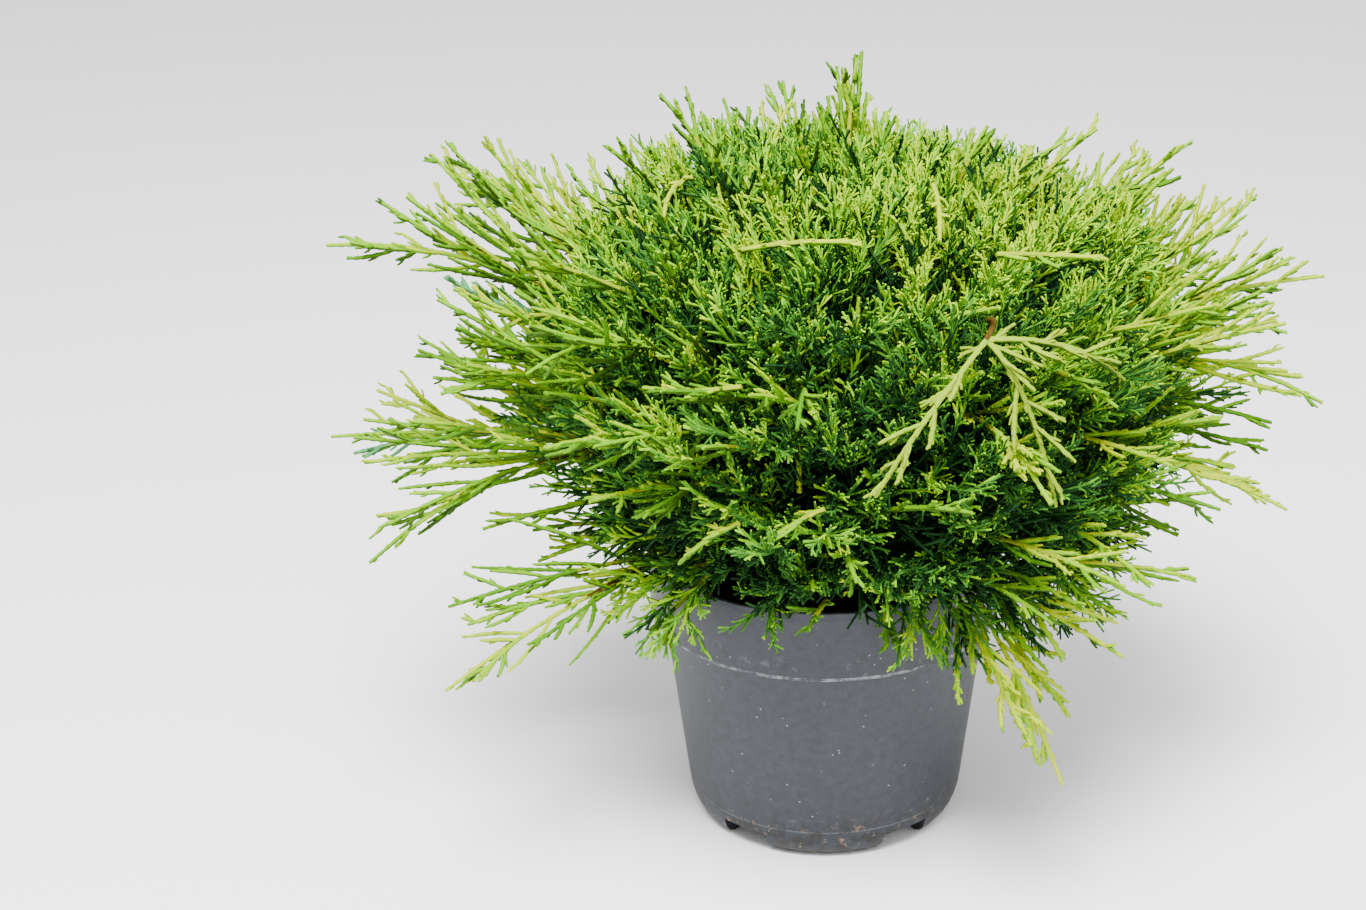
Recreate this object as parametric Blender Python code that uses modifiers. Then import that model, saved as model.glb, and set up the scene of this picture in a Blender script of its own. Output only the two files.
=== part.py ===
"""Spreading gold-tipped juniper in its round nursery pot.

Metres, +Z up. The origin is on the pot's axis, at the level that the pot
stands on. Bearings are in degrees: 0 is the front (-Y), 90 the right (+X).
"""
import math
import random

import bmesh
import bpy
from mathutils import Matrix, Vector, kdtree

# Clearance that touching pieces keep
GAP = 0.0003

# Pot: a turned polypropylene shell with a wide band round its top
POT_HEIGHT = 0.128
RIM_RADIUS = 0.0779
LIP_HEIGHT = 0.003
LIP_PROUD = 0.0006
BAND_BOTTOM = 0.0955
BAND_RADIUS = 0.0764
BAND_EDGE = 0.0009
BODY_TOP_RADIUS = 0.0709
BODY_BOTTOM = 0.0152
BODY_BOTTOM_RADIUS = 0.0613
FOOT_RADIUS = 0.053
FOOT_WIDTH = 0.007
FLOOR_UNDERSIDE = 0.0115
WALL = 0.0016
HUB_RADIUS = 0.014
POT_STEPS = 40

# The foot ring is cut into five feet
FOOT_COUNT = 5
SLOT_ANGLE = 21.0
SLOT_HEIGHT = 0.0098
SLOT_FLARE = 1.12

# Potting soil, a little below the rim
SOIL_LEVEL = 0.113
SOIL_MOUND = 0.003

# Short trunk inside the crown
TRUNK_TOP = 0.158
TRUNK_FLARE_RADIUS = 0.0115
TRUNK_RADIUS = 0.0080
TRUNK_TOP_RADIUS = 0.0058
TRUNK_LEAN = 0.004
FLARE_HEIGHT = 0.0035

# Dense body of the crown, without its long sprays
CROWN_OFFSET = 0.015
CROWN_DEPTH_FACTOR = 0.97
CROWN_BOTTOM = 0.108
CROWN_BOTTOM_RADIUS = 0.104
CROWN_WIDEST = 0.215
CROWN_RADIUS = 0.132
CROWN_TOP = 0.294
CROWN_ROUNDNESS = 3.2
HEART_REACH = 0.097
HEART_FIRST = 0.40
HEART_LAST = 0.72

# Rough lump that fills the shaded inside of each dense mass
CORE_SHARE = 0.92
CORE_REACH = 0.060
CORE_MARGIN = 0.0012
CORE_POT_MARGIN = 0.007
CORE_LIMB_MARGIN = 0.003
CORE_LIMB_COSINE = 0.80
CORE_SPRAYS = 3

# Limbs and twigs
BOUGH_RADIUS = 0.0023
BOUGH_TIP_RADIUS = 0.0015
BOUGH_POINTS = 5
BOUGH_EASE = 1.5
BOUGH_SHARE = 0.34
STEM_TIP_RADIUS = 0.0008
STEM_POINTS = 6
SHOOT_RADIUS = 0.0019
SPRAY_LENGTH = 0.046
SPRAY_SPREAD = 38.0
CELL_MARGIN = 0.0024
LIMB_MARGIN = 0.0012
POT_MARGIN = 0.0025
SEED = 41

# Long side axes that each limb forks into: from where to where, how wide, how
# long for what is left of the limb, and how strongly they swing round to it
FORK_START = 0.40
FORK_END = 0.86
FORK_SPREAD = 22.0
FORK_LENGTH = 0.95
FORK_SWING = 0.35
FORK_POINTS = 7
FRONT_BEARING = 60.0
FRONT_FORKS = 4
WHIP_LENGTH = 0.026
WHIP_SPREAD = 26.0

# Each bough and its mass of foliage: bearing, then reach and height of the
# furthest tip, the height that its arc is drawn up to half way out, and the seed
# of its forks
TIERS = {
    "top": (
        ("centre", 143.0, 0.025, 0.3360, 0.250, 69),
        ("front_left", -62.0, 0.056, 0.314, 0.240, 58),
        ("front_right", 66.0, 0.078, 0.300, 0.240, 2),
        ("back", -144.0, 0.074, 0.306, 0.240, 35),
    ),
    "upper": (
        ("left", -84.0, 0.203, 0.266, 0.270, 38),
        ("back_left", -115.0, 0.184, 0.269, 0.248, 5),
        ("back", 178.0, 0.170, 0.262, 0.290, 148),
        ("back_right", 112.0, 0.172, 0.286, 0.240, 95),
        ("right", 89.0, 0.207, 0.247, 0.237, 96),
        ("front_right", 44.0, 0.158, 0.232, 0.262, 9),
        ("front", -4.0, 0.146, 0.236, 0.262, 8),
        ("front_left", -44.0, 0.160, 0.246, 0.272, 151),
    ),
    "middle": (
        ("left", -98.0, 0.220, 0.161, 0.176, 6),
        ("left_front", -69.0, 0.164, 0.216, 0.240, 55),
        ("front_left", -28.0, 0.142, 0.186, 0.215, 16),
        ("front_right", 30.8, 0.163, 0.204, 0.262, 17),
        ("right", 84.5, 0.208, 0.197, 0.255, 87),
        ("back_right", 138.0, 0.186, 0.196, 0.225, 19),
        ("back_left", -144.0, 0.186, 0.190, 0.225, 97),
    ),
    "lower": (
        ("left", -78.0, 0.195, 0.133, 0.218, 145),
        ("left_long", -57.5, 0.181, 0.103, 0.146, 191),
        ("front_left", -37.0, 0.108, 0.118, 0.172, 52),
        ("front", 17.0, 0.103, 0.118, 0.172, 24),
        ("front_long", 41.5, 0.145, 0.066, 0.178, 34),
        ("right", 77.0, 0.196, 0.159, 0.210, 70),
        ("back_right", 124.0, 0.168, 0.120, 0.190, 151),
        ("back", 174.0, 0.160, 0.104, 0.190, 28),
        ("back_left", -126.0, 0.166, 0.118, 0.190, 15),
    ),
}

# Height on the trunk and first slope of each tier's boughs, how much its forks
# droop (or turn up, below 0), and how many forks a limb has
TIER_RULES = {
    "top": (0.1500, 68.0, 0.0, 4),
    "upper": (0.1415, 48.0, -0.18, 7),
    "middle": (0.1320, 30.0, -0.10, 6),
    "lower": (0.1225, 22.0, 0.25, 6),
}


def polar(bearing, radius, height):
    """Point at a bearing in degrees, a radius and a height."""
    angle = math.radians(bearing)
    return Vector((radius * math.sin(angle), -radius * math.cos(angle), height))


def clear_scene():
    for old in list(bpy.data.objects):
        bpy.data.objects.remove(old)


def new_collection(name):
    collection = bpy.data.collections.new(name)
    bpy.context.scene.collection.children.link(collection)
    return collection


def make_material(name, colour, roughness):
    material = bpy.data.materials.new(name)
    material.use_nodes = True
    shader = material.node_tree.nodes["Principled BSDF"]
    shader.inputs["Base Color"].default_value = (*colour, 1.0)
    shader.inputs["Roughness"].default_value = roughness
    shader.inputs["Metallic"].default_value = 0.0
    material.diffuse_color = (*colour, 1.0)
    return material


def add_object(name, mesh, collection, material=None):
    item = bpy.data.objects.new(name, mesh)
    collection.objects.link(item)
    if material:
        mesh.materials.append(material)
    return item


def turned(name, profile, steps, collection, material):
    """Solid of revolution of an open profile that starts and ends on the axis."""
    mesh = bpy.data.meshes.new(name)
    points = [(radius, 0.0, height) for radius, height in profile]
    mesh.from_pydata(points, [(i, i + 1) for i in range(len(points) - 1)], [])
    item = add_object(name, mesh, collection, material)
    screw = item.modifiers.new("turn", "SCREW")
    screw.steps = steps
    screw.render_steps = steps
    screw.use_merge_vertices = True
    screw.merge_threshold = 0.0001
    screw.use_smooth_shade = True
    return item


def pot_outer_profile():
    """Outer wall from the lip down to the inner edge of the foot ring."""
    lip_bottom = POT_HEIGHT - LIP_HEIGHT
    return [
        (RIM_RADIUS - 0.0004, POT_HEIGHT),
        (RIM_RADIUS, POT_HEIGHT - 0.0005),
        (RIM_RADIUS, lip_bottom),
        (RIM_RADIUS - LIP_PROUD, lip_bottom - 0.0005),
        (BAND_RADIUS, BAND_BOTTOM + BAND_EDGE),
        (BAND_RADIUS - BAND_EDGE, BAND_BOTTOM),
        (BODY_TOP_RADIUS, BAND_BOTTOM - 0.0004),
        (BODY_BOTTOM_RADIUS, BODY_BOTTOM),
        (BODY_BOTTOM_RADIUS - 0.0009, 0.0090),
        (BODY_BOTTOM_RADIUS - 0.0028, 0.0042),
        (BODY_BOTTOM_RADIUS - 0.0052, 0.0014),
        (FOOT_RADIUS, 0.0),
        (FOOT_RADIUS - FOOT_WIDTH, 0.0),
    ]


def pot_inner_profile(clearance=0.0):
    """Inner wall from the floor's edge up to the lip, drawn in by a clearance."""
    floor = FLOOR_UNDERSIDE + WALL
    inset = WALL + clearance
    return [
        (BODY_BOTTOM_RADIUS - 2.2 * inset, floor + clearance),
        (BODY_BOTTOM_RADIUS - inset, floor + 3.0 * WALL),
        (BODY_TOP_RADIUS - inset, BAND_BOTTOM - WALL),
        (BAND_RADIUS - inset, BAND_BOTTOM + 1.6 * WALL),
        (RIM_RADIUS - inset, POT_HEIGHT),
    ]


def build_pot(plant, cutters, material):
    floor = FLOOR_UNDERSIDE + WALL
    profile = [(0.0, floor)]
    profile += pot_inner_profile()
    profile += pot_outer_profile()
    profile += [
        (FOOT_RADIUS - FOOT_WIDTH - 0.001, FLOOR_UNDERSIDE),
        (HUB_RADIUS + 0.001, FLOOR_UNDERSIDE),
        (HUB_RADIUS, 0.0),
        (0.0, 0.0),
    ]
    pot = turned("pot", profile, POT_STEPS, plant, material)
    cut = pot.modifiers.new("slots", "BOOLEAN")
    cut.operation = "DIFFERENCE"
    cut.object = build_slot_cutter(cutters)
    return pot


def build_slot_cutter(cutters):
    """One block for each gap between two feet, wider at its bottom."""
    bm = bmesh.new()
    outer = BODY_BOTTOM_RADIUS + 0.004
    inner = FOOT_RADIUS - FOOT_WIDTH - 0.004
    width = 2.0 * BODY_BOTTOM_RADIUS * math.sin(math.radians(SLOT_ANGLE / 2.0))
    size = Vector((width, outer - inner, 2.0 * SLOT_HEIGHT))
    for index in range(FOOT_COUNT):
        bearing = (index + 0.5) * 360.0 / FOOT_COUNT
        block = bmesh.ops.create_cube(bm, size=1.0)["verts"]
        for vert in block:
            if vert.co.z < 0.0:
                vert.co.x *= SLOT_FLARE
        place = (
            Matrix.Rotation(math.radians(bearing), 4, "Z")
            @ Matrix.Translation((0.0, -(outer + inner) / 2.0, 0.0))
            @ Matrix.Diagonal((*size, 1.0))
        )
        bmesh.ops.transform(bm, matrix=place, verts=block)
    mesh = bpy.data.meshes.new("slot_cutter")
    bm.to_mesh(mesh)
    bm.free()
    cutter = add_object("slot_cutter", mesh, cutters)
    cutter.hide_render = True
    cutter.display_type = "WIRE"
    return cutter


def build_soil(plant, material):
    """Soil that fills the pot, 0.3 mm clear of its walls and floor."""
    wall = pot_inner_profile(GAP)
    below = [point for point in wall if point[1] < SOIL_LEVEL]
    low, high = wall[3], wall[4]
    share = (SOIL_LEVEL - low[1]) / (high[1] - low[1])
    rim = low[0] + share * (high[0] - low[0])
    profile = [(0.0, SOIL_LEVEL + SOIL_MOUND), (0.030, SOIL_LEVEL + 0.8 * SOIL_MOUND)]
    profile += [(rim, SOIL_LEVEL)]
    profile += list(reversed(below))
    profile += [(0.0, FLOOR_UNDERSIDE + WALL + GAP)]
    return turned("soil", profile, 24, plant, material)


def smooth_limb(name, points, radii, resolution, collection, material=None):
    """Tapering limb along points: a round bevelled curve with filled caps."""
    curve = bpy.data.curves.new(name, "CURVE")
    curve.dimensions = "3D"
    curve.bevel_depth = 1.0
    curve.bevel_resolution = resolution
    curve.use_fill_caps = True
    spline = curve.splines.new("POLY")
    spline.points.add(len(points) - 1)
    for knot, place, radius in zip(spline.points, points, radii):
        knot.co = (*place, 1.0)
        knot.radius = radius
    item = bpy.data.objects.new(name, curve)
    collection.objects.link(item)
    if material:
        curve.materials.append(material)
    return item


def limb_as_mesh(name, points, radii, collection):
    """The same limb as a closed mesh, so that it can be joined to others."""
    guide = smooth_limb(name, points, radii, 0, collection)
    bpy.context.view_layer.update()
    depsgraph = bpy.context.evaluated_depsgraph_get()
    mesh = bpy.data.meshes.new_from_object(guide.evaluated_get(depsgraph))
    bm = bmesh.new()
    bm.from_mesh(mesh)
    bmesh.ops.remove_doubles(bm, verts=bm.verts, dist=0.00001)
    bmesh.ops.recalc_face_normals(bm, faces=bm.faces)
    bm.to_mesh(mesh)
    bm.free()
    bpy.data.objects.remove(guide)
    return add_object(name, mesh, collection)


def build_trunk(plant, material):
    """Short trunk from a flat cut on the soil, flared at its foot."""
    bottom = SOIL_LEVEL + SOIL_MOUND + GAP
    shares = [0.0, 0.05, 0.12, 0.30, 0.65, 1.0]
    heights = [bottom + share * (TRUNK_TOP - bottom) for share in shares]
    points = [trunk_axis(height) for height in heights]
    radii = [trunk_radius(height) for height in heights]
    return smooth_limb("trunk", points, radii, 3, plant, material)


def trunk_axis(height):
    share = (height - SOIL_LEVEL) / (TRUNK_TOP - SOIL_LEVEL)
    return Vector((TRUNK_LEAN * share * abs(share), 0.0, height))


def trunk_radius(height):
    """Even taper, with a flare that dies out just above the soil."""
    share = (height - SOIL_LEVEL) / (TRUNK_TOP - SOIL_LEVEL)
    taper = TRUNK_RADIUS + (TRUNK_TOP_RADIUS - TRUNK_RADIUS) * share
    flare = (TRUNK_FLARE_RADIUS - TRUNK_RADIUS) * math.exp(-(height - SOIL_LEVEL) / FLARE_HEIGHT)
    return taper + flare


def limb_arc(root, slope, bearing, reach, height, arch):
    """Arc of a whole limb, from its root on the trunk to its furthest tip."""
    tip = polar(bearing, reach, height)
    middle = polar(bearing, 0.5 * reach, arch)
    rise = (tip - root).length * 0.22
    outward = Vector((root.x, root.y, 0.0)).normalized()
    tilt = math.radians(slope)
    first = root + rise * (math.cos(tilt) * outward + math.sin(tilt) * Vector((0, 0, 1)))

    def at(share):
        rest = 1.0 - share
        return (
            rest ** 3 * root
            + 3.0 * rest ** 2 * share * first
            + 3.0 * rest * share ** 2 * middle
            + share ** 3 * tip
        )

    return at


def plan_masses():
    """Name, arc, heart and forks of every mass, from the tables above."""
    masses = []
    for tier, rows in TIERS.items():
        root_height, slope, droop, forks = TIER_RULES[tier]
        ordered = sorted(rows, key=lambda row: row[1])
        turn = 360.0 / len(ordered)
        centre = sum(row[1] for row in ordered) / len(ordered)
        for index, (name, bearing, reach, height, arch, seed) in enumerate(ordered):
            root_bearing = centre + turn * (index - (len(ordered) - 1) / 2.0)
            tilt = BOUGH_RADIUS * math.sin(math.radians(slope))
            distance = trunk_radius(root_height) + tilt + GAP
            root = polar(root_bearing, distance, root_height)
            root.x += trunk_axis(root_height).x
            arc = limb_arc(root, slope, bearing, reach, height, arch)
            share = heart_share(arc)
            front = abs(bearing) < FRONT_BEARING
            masses.append({
                "name": tier + "_" + name,
                "arc": arc,
                "heart_share": share,
                "heart": arc(share),
                "droop": droop,
                "forks": min(forks, FRONT_FORKS) if front else forks,
                "seed": seed,
            })
    return masses


def heart_share(arc):
    """Share of a limb at which its mass is centred: the same way out for the long ones."""
    middle = Vector((CROWN_OFFSET, 0.0))
    share = HEART_FIRST
    while share < HEART_LAST and (arc(share).xy - middle).length < HEART_REACH:
        share += 0.01
    return share


def side_of(way):
    """Level side of a heading, or its right where it is nearly upright."""
    side = way.cross(Vector((0, 0, 1)))
    if side.length < 0.15:
        side = way.cross(Vector((1, 0, 0)))
    return side.normalized()


def turned_off(along, side, spread, roll):
    """Way of a side shoot: off its parent by the spread, rolled round it."""
    off = side.copy()
    off.rotate(Matrix.Rotation(roll, 3, along))
    return (along * math.cos(spread) + off * math.sin(spread)).normalized()


def bend_line(start, way, length, count, curl):
    """Points of a shoot whose heading turns by the curl over its length."""
    points = [start]
    heading = way.copy()
    for _ in range(count - 1):
        points.append(points[-1] + heading * (length / (count - 1)))
        heading = (heading + curl / (count - 1)).normalized()
    return points


def limb_forks(mass):
    """Centre lines of the long axes that fork off a limb to alternate sides."""
    rng = random.Random(mass["seed"])
    arc = mass["arc"]
    lines = []
    hand = rng.choice((0.0, math.pi))
    for index in range(mass["forks"]):
        share = FORK_START + (FORK_END - FORK_START) * index / (mass["forks"] - 1)
        foot = arc(share)
        along = (arc(share + 0.02) - arc(share - 0.02)).normalized()
        rest = (arc(1.0) - foot).length
        roll = hand + rng.gauss(0.0, 0.6)
        way = turned_off(along, side_of(along), math.radians(rng.gauss(FORK_SPREAD, 4.0)), roll)
        length = rest * FORK_LENGTH * rng.uniform(0.75, 1.0)
        curl = along * FORK_SWING + Vector((0.0, 0.0, -mass["droop"]))
        lines.append(bend_line(foot, way, length, FORK_POINTS, curl))
        hand += math.pi
    return lines


def in_own_space(point, mass, masses, margin):
    """Whether a point is nearer this mass's heart than any other, by a margin."""
    own = (point - mass["heart"]).length_squared
    for other in masses:
        if other is mass:
            continue
        apart = (other["heart"] - mass["heart"]).length
        lead = ((point - other["heart"]).length_squared - own) / (2.0 * apart)
        if lead < margin:
            return False
    return True


def crown_radius(height):
    """Radius of the crown's dense body at a height."""
    if height <= CROWN_BOTTOM or height >= CROWN_TOP:
        return 0.0
    if height < CROWN_WIDEST:
        share = (height - CROWN_BOTTOM) / (CROWN_WIDEST - CROWN_BOTTOM)
        swell = math.sin(share * math.pi / 2.0)
        return CROWN_BOTTOM_RADIUS + (CROWN_RADIUS - CROWN_BOTTOM_RADIUS) * swell
    share = (height - CROWN_WIDEST) / (CROWN_TOP - CROWN_WIDEST)
    return CROWN_RADIUS * (1.0 - share ** CROWN_ROUNDNESS) ** (1.0 / CROWN_ROUNDNESS)


def in_crown(point, share):
    """Whether a point is inside the dense body, scaled by a share."""
    base = Vector((0.0, 0.0, CROWN_BOTTOM + 0.4 * (CROWN_TOP - CROWN_BOTTOM)))
    height = base.z + (point.z - base.z) / share
    across = (point.x - CROWN_OFFSET) / share
    deep = point.y / (share * CROWN_DEPTH_FACTOR)
    return math.hypot(across, deep) < crown_radius(height)


def clear_of_pot(point, margin=POT_MARGIN):
    """Whether a point is above the pot's rim or outside its wall."""
    if point.z > POT_HEIGHT + POT_MARGIN:
        return True
    return math.hypot(point.x, point.y) > RIM_RADIUS + margin


def outward_way(point):
    """Way that shoots grow at a point: up at the top, outward at the sides."""
    way = point - Vector((CROWN_OFFSET * 0.5, 0.0, 0.150))
    way.z *= 0.9
    return way.normalized()


class Limbs:
    """Finds the clearance of a point from the trunk and the boughs."""

    def __init__(self):
        self.places = []

    def add(self, points, radii):
        for (start, end), (first, last) in zip(
            zip(points, points[1:]), zip(radii, radii[1:])
        ):
            count = max(2, int((end - start).length / 0.0015))
            for step in range(count + 1):
                share = step / count
                self.places.append((start.lerp(end, share), first + (last - first) * share))

    def close(self):
        self.tree = kdtree.KDTree(len(self.places))
        for index, (place, _) in enumerate(self.places):
            self.tree.insert(place, index)
        self.tree.balance()

    def around(self, centre, span):
        """Direction and clear distance of each limb place within a span."""
        found = []
        for place, index, distance in self.tree.find_range(centre, span):
            found.append(((place - centre).normalized(), distance - self.places[index][1]))
        return found

    def clearance(self, point):
        found = self.tree.find_n(point, 6)
        return min(distance - self.places[index][1] for _, index, distance in found)


def build_boughs(masses, limbs, plant, material):
    """One tapering bough for each mass, ending where its own space begins."""
    for mass in masses:
        share = BOUGH_SHARE
        while share < mass["heart_share"] - 0.06 and not in_own_space(
            mass["arc"](share), mass, masses, CELL_MARGIN + BOUGH_TIP_RADIUS
        ):
            share += 0.01
        mass["start"] = share
        steps = [(step / (BOUGH_POINTS - 1)) ** BOUGH_EASE for step in range(BOUGH_POINTS)]
        points = [mass["arc"](share * step) for step in steps]
        radii = [BOUGH_RADIUS + (BOUGH_TIP_RADIUS - BOUGH_RADIUS) * step for step in steps]
        smooth_limb("bough_" + mass["name"], points, radii, 1, plant, material)
        limbs.add(points, radii)


def slim_shoot(points, radius, collection):
    """Three-sided shoot through points that tapers to a sharp tip."""
    bm = bmesh.new()
    rings = []
    for index, (place, onward) in enumerate(zip(points, points[1:])):
        turn = (onward - place).to_track_quat("Z", "Y")
        size = radius * (1.0 - 0.6 * index / (len(points) - 1))
        ring = [
            bm.verts.new(place + turn @ (polar(120.0 * corner, size, 0.0)))
            for corner in range(3)
        ]
        rings.append(ring)
    bm.faces.new(rings[0])
    for ring, after in zip(rings, rings[1:]):
        for corner in range(3):
            other = (corner + 1) % 3
            bm.faces.new((ring[corner], ring[other], after[other], after[corner]))
    tip = bm.verts.new(points[-1])
    for corner in range(3):
        bm.faces.new((rings[-1][corner], rings[-1][(corner + 1) % 3], tip))
    bmesh.ops.recalc_face_normals(bm, faces=bm.faces)
    mesh = bpy.data.meshes.new("shoot")
    bm.to_mesh(mesh)
    bm.free()
    return add_object("shoot", mesh, collection)


class Mass:
    """Grows one mass of foliage inside its own space."""

    def __init__(self, plan, masses, limbs, workshop, rng):
        self.plan = plan
        self.masses = masses
        self.limbs = limbs
        self.workshop = workshop
        self.rng = rng
        self.pieces = []

    def free(self, point, radius):
        return (
            in_own_space(point, self.plan, self.masses, radius + GAP)
            and clear_of_pot(point)
            and self.limbs.clearance(point) > radius + LIMB_MARGIN
        )

    def free_line(self, start, end, radius):
        return all(
            self.free(start.lerp(end, share), radius) for share in (0.0, 0.25, 0.5, 0.75, 1.0)
        )

    def grow_stem(self):
        arc = self.plan["arc"]
        first = self.plan["start"]
        while (arc(first) - arc(self.plan["start"])).length < GAP + 0.0001:
            first += 0.0002
        count = STEM_POINTS
        shares = [first + (1.0 - first) * step / (count - 1) for step in range(count)]
        points = [arc(value) for value in shares]
        radii = [
            BOUGH_TIP_RADIUS + (STEM_TIP_RADIUS - BOUGH_TIP_RADIUS) * step / (count - 1)
            for step in range(count)
        ]
        self.pieces.append(limb_as_mesh("stem", points, radii, self.workshop))
        self.first = first

    def grow_core(self):
        """Rough lump round the heart, drawn in from its neighbours and limbs."""
        heart = self.plan["heart"]
        bm = bmesh.new()
        bmesh.ops.create_icosphere(bm, subdivisions=2, radius=1.0)
        limbs_near = self.limbs.around(heart, CORE_REACH)
        for vert in bm.verts:
            way = vert.co.normalized()
            reach = 0.006
            while reach < CORE_REACH:
                point = heart + way * (reach + 0.002)
                if not in_crown(point, CORE_SHARE) or not clear_of_pot(point, CORE_POT_MARGIN):
                    break
                if not self.free(point, CORE_MARGIN):
                    break
                reach += 0.002
            for direction, distance in limbs_near:
                if direction.dot(way) > CORE_LIMB_COSINE:
                    reach = min(reach, max(0.003, distance - CORE_LIMB_MARGIN))
            vert.co = heart + way * reach * self.rng.uniform(0.84, 1.0)
        mesh = bpy.data.meshes.new("core")
        bm.to_mesh(mesh)
        bm.free()
        self.pieces.append(add_object("core", mesh, self.workshop))

    def grow_line(self, points, radius):
        """Adds a shoot, unless it would leave the mass's space or touch a limb."""
        if not all(self.free_line(a, b, radius) for a, b in zip(points, points[1:])):
            return False
        self.pieces.append(slim_shoot(points, radius, self.workshop))
        return True

    def grow_spray(self, root, way, length):
        """Axis with a shoot on each side of it."""
        tip = root + way * length
        if not self.grow_line([root, tip], SHOOT_RADIUS):
            return False
        hand = self.rng.choice((0.0, math.pi)) + self.rng.uniform(-0.9, 0.9)
        for share in (0.45, 0.72):
            branch = turned_off(way, side_of(way), math.radians(SPRAY_SPREAD), hand)
            foot = root.lerp(tip, share)
            end = foot + branch * length * 0.46 * (1.25 - 0.75 * share)
            self.grow_line([foot, end], SHOOT_RADIUS * 0.85)
            hand += math.pi
        return True

    def grow_on_core(self):
        heart = self.plan["heart"]
        grown = 0
        for _ in range(60):
            if grown >= CORE_SPRAYS:
                return
            way = Vector([self.rng.gauss(0.0, 1.0) for _ in range(3)]).normalized()
            way = (way * 0.95 + outward_way(heart)).normalized()
            reach = 0.004
            while in_crown(heart + way * reach, 1.0) and reach < 0.055:
                reach += 0.003
            if reach < 0.008:
                continue
            surface = heart + way * reach
            root = heart + way * max(0.004, reach * 0.35)
            end = surface + outward_way(surface) * SPRAY_LENGTH * self.rng.uniform(0.1, 0.45)
            if self.grow_spray(root, (end - root).normalized(), (end - root).length):
                grown += 1

    def grow_forks(self):
        """The limb's long forks, each with a whip half way along it."""
        for line in limb_forks(self.plan):
            middle = FORK_POINTS // 2
            if not self.grow_line([line[0], line[middle], line[-1]], SHOOT_RADIUS):
                continue
            foot = line[middle]
            along = (line[-1] - foot).normalized()
            roll = self.rng.uniform(0.0, math.tau)
            whip = turned_off(along, side_of(along), math.radians(WHIP_SPREAD), roll)
            reach = min(WHIP_LENGTH, (line[-1] - foot).length * 0.9)
            self.grow_line([foot, foot + whip * reach], SHOOT_RADIUS * 0.85)

    def grow(self):
        self.grow_stem()
        self.grow_core()
        self.grow_on_core()
        self.grow_forks()


def join(name, pieces, workshop, plant, material):
    """Union of all the pieces, with loose scraps and sealed hollows dropped."""
    base = pieces[0]
    if len(pieces) == 1:
        raise RuntimeError(name + " has only its stem")
    workshop.objects.unlink(base)
    bpy.context.scene.collection.objects.link(base)
    union = base.modifiers.new("join", "BOOLEAN")
    union.operation = "UNION"
    union.operand_type = "COLLECTION"
    union.collection = workshop
    union.solver = "MANIFOLD"
    bpy.context.view_layer.update()
    depsgraph = bpy.context.evaluated_depsgraph_get()
    mesh = bpy.data.meshes.new_from_object(base.evaluated_get(depsgraph))
    for piece in list(workshop.objects) + [base]:
        bpy.data.objects.remove(piece)
    keep_largest(mesh)
    mesh.materials.clear()
    mesh.name = name
    return add_object(name, mesh, plant, material)


def keep_largest(mesh):
    bm = bmesh.new()
    bm.from_mesh(mesh)
    left = set(bm.verts)
    islands = []
    while left:
        stack = [left.pop()]
        island = set(stack)
        while stack:
            vert = stack.pop()
            for edge in vert.link_edges:
                other = edge.other_vert(vert)
                if other in left:
                    left.discard(other)
                    island.add(other)
                    stack.append(other)
        islands.append(island)
    islands.sort(key=len, reverse=True)
    for island in islands[1:]:
        bmesh.ops.delete(bm, geom=list(island), context="VERTS")
    bm.to_mesh(mesh)
    bm.free()


def main():
    clear_scene()
    plant = new_collection("potted_juniper")
    cutters = new_collection("cutters")
    workshop = new_collection("workshop")
    plastic = make_material("pot_plastic", (0.115, 0.122, 0.130), 0.55)
    earth = make_material("soil", (0.020, 0.012, 0.008), 0.95)
    bark = make_material("bark", (0.180, 0.085, 0.040), 0.85)
    foliage = make_material("foliage", (0.200, 0.420, 0.030), 0.60)

    build_pot(plant, cutters, plastic)
    build_soil(plant, earth)
    build_trunk(plant, bark)

    masses = plan_masses()
    limbs = Limbs()
    limbs.add(
        [trunk_axis(SOIL_LEVEL), trunk_axis(TRUNK_TOP)],
        [TRUNK_FLARE_RADIUS, TRUNK_TOP_RADIUS],
    )
    build_boughs(masses, limbs, plant, bark)
    limbs.close()
    for number, plan in enumerate(masses):
        mass = Mass(plan, masses, limbs, workshop, random.Random(SEED + number))
        mass.grow()
        join("foliage_" + plan["name"], mass.pieces, workshop, plant, foliage)


main()
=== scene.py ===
"""Looks of a spreading gold-tipped juniper in a grey nursery pot."""
import math
import random

import bmesh
import bpy
from mathutils import Matrix, Vector, noise


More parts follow.
